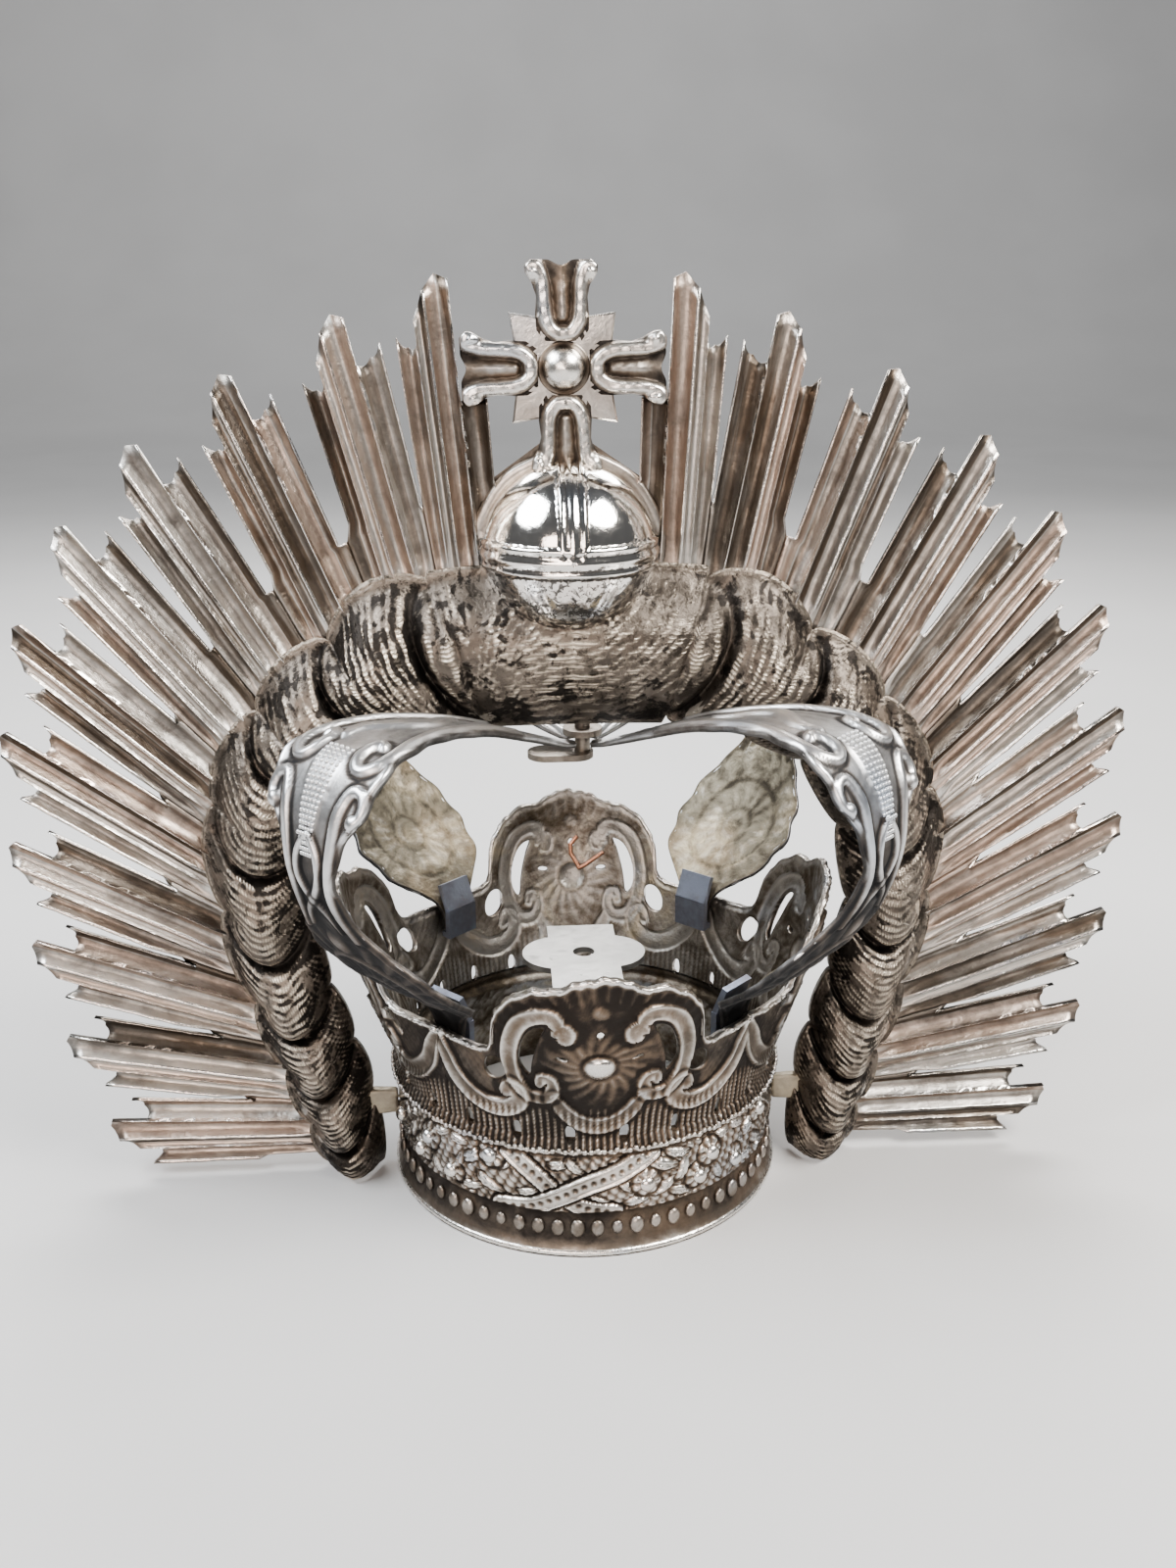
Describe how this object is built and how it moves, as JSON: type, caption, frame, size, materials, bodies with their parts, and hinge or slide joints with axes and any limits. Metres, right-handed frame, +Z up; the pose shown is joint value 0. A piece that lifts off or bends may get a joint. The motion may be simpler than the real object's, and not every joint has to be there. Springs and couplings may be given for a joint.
{
  "type": "imperial crown",
  "caption": "Open silver imperial crown for a statue: pierced circlet with tall cartouches, bowed arches and a horseshoe halo of cloud and rays under an orb and cross.",
  "frame": {"origin": "centre of the circlet, on the plane its base rim rests on", "axes": "+Z up out of the crown, -Y towards the side the halo's relief and the orb face, +X to the right seen from there"},
  "size_m": [0.2183, 0.1104, 0.1782],
  "materials": {
    "circlet_silver": "tarnished embossed silver",
    "arch_silver": "rubbed embossed silver",
    "halo_silver": "dark tarnished silver with bright ridges",
    "plate_metal": "matt pale metal",
    "clip_metal": "dull blue-grey metal",
    "screw_metal": "dull grey metal",
    "wire_copper": "bare copper wire"
  },
  "bodies": {
    "root": {"circlet": "circlet_silver", "arch_front_left": "arch_silver", "arch_front_right": "arch_silver", "arch_rear_left": "arch_silver", "arch_rear_right": "arch_silver", "halo": "halo_silver", "head_plate": "plate_metal", "clip_front_left": "clip_metal", "clip_front_right": "clip_metal", "clip_rear_left": "clip_metal", "clip_rear_right": "clip_metal", "top_screw": "screw_metal", "tie_wire": "wire_copper"}
  },
  "joints": []
}
